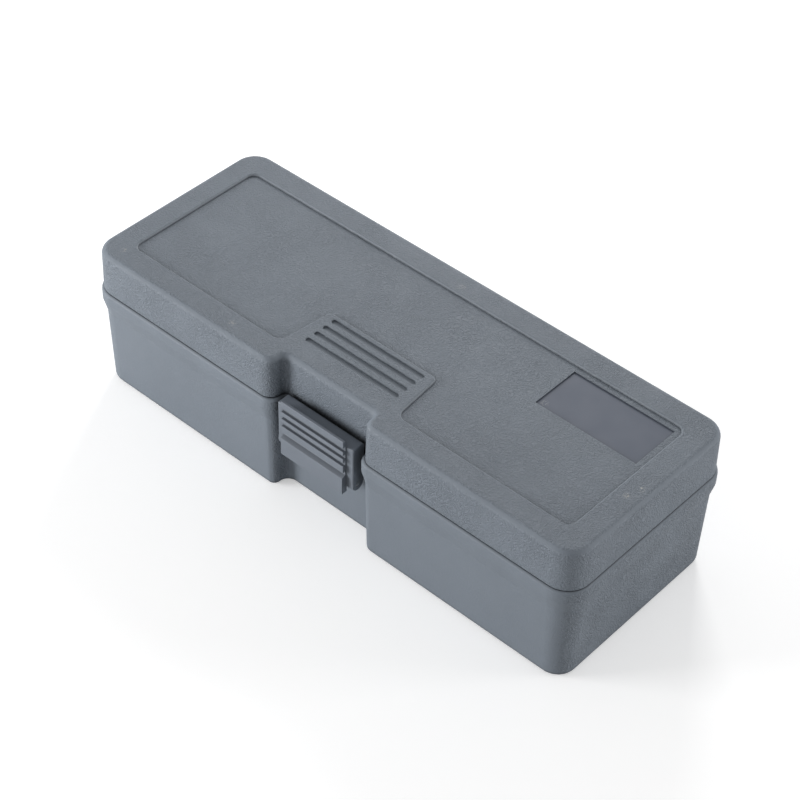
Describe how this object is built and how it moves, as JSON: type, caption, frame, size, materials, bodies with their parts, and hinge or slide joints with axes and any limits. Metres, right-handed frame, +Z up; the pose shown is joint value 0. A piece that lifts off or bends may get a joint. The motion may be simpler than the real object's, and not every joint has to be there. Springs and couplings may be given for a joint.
{
  "type": "hand refractometer in carrying case",
  "caption": "Handheld brix refractometer lying in the foam tray of its hinged plastic case, with a snap latch, a pipette and a screwdriver.",
  "frame": {"origin": "on the case's underside, below the middle of the base's rim", "axes": "+X along the case, -Y towards the latch, +Z up"},
  "size_m": [0.204, 0.0843, 0.0559],
  "materials": {
    "case_plastic": "fine leather grain on the lid's top, smoother on the walls",
    "latch_plastic": "smooth satin",
    "foam": "open foam, matt",
    "pin_steel": "turned",
    "instrument_body": "dark anodised",
    "optical_glass": "polished",
    "clear_plastic": "clear moulded",
    "screw_brass": "plain",
    "black_rubber": "matt",
    "black_plastic": "matt",
    "pipette_plastic": "milky, thin"
  },
  "bodies": {
    "case": {"case_base": "case_plastic", "hinge_pin_left": "pin_steel", "hinge_pin_right": "pin_steel", "latch_pin": "pin_steel", "foam_tray": "foam", "prism_housing": "instrument_body", "main_prism": "optical_glass", "plate_hinge_pin": "pin_steel", "objective_cell": "instrument_body", "objective_lens": "optical_glass", "body_tube": "instrument_body", "rubber_grip": "black_rubber", "bimetal_strip": "screw_brass", "strip_screw": "pin_steel", "reticle_ring": "instrument_body", "reticle_glass": "optical_glass", "pipette": "pipette_plastic", "screwdriver_blade": "pin_steel", "screwdriver_handle": "black_plastic"},
    "lid": {"case_lid": "case_plastic", "foam_pad": "foam"},
    "latch": {"latch": "latch_plastic"},
    "plate": {"daylight_plate": "clear_plastic"},
    "calibration": {"calibration_screw": "screw_brass"},
    "focus": {"focus_ring": "black_plastic"},
    "eyepiece": {"eyepiece_barrel": "instrument_body", "eyepiece_lens": "optical_glass", "lens_retainer": "instrument_body", "eyecup": "black_rubber"}
  },
  "joints": [
    {"name": "lid_hinge", "type": "hinge", "parent": "case", "child": "lid", "pos_m": [0, 0.0418, 0.0401], "axis": [-1, 0, 0], "range_deg": [0, 110]},
    {"name": "latch_hinge", "type": "hinge", "parent": "case", "child": "latch", "pos_m": [0, -0.0353, 0.0262], "axis": [1, 0, 0], "range_deg": [0, 85]},
    {"name": "plate_hinge", "type": "hinge", "parent": "case", "child": "plate", "pos_m": [-0.05563, -0.00247, 0.024], "axis": [0, 0, 1], "range_deg": [0, 75]},
    {"name": "calibration_turn", "type": "hinge", "parent": "case", "child": "calibration", "pos_m": [-0.0498, 0.012, 0.024], "axis": [0, -1, 0], "range_deg": [-360, 360]},
    {"name": "focus_turn", "type": "hinge", "parent": "case", "child": "focus", "pos_m": [0.039, 0.012, 0.024], "axis": [1, 0, 0], "range_deg": [0, 180]},
    {"name": "eyepiece_slide", "type": "slide", "parent": "case", "child": "eyepiece", "axis": [1, 0, 0], "range_m": [0, 0.002]}
  ],
  "couplings": [
    {"joint": "eyepiece_slide", "follows": "focus_turn", "m_per_rad": 0.0006366}
  ]
}
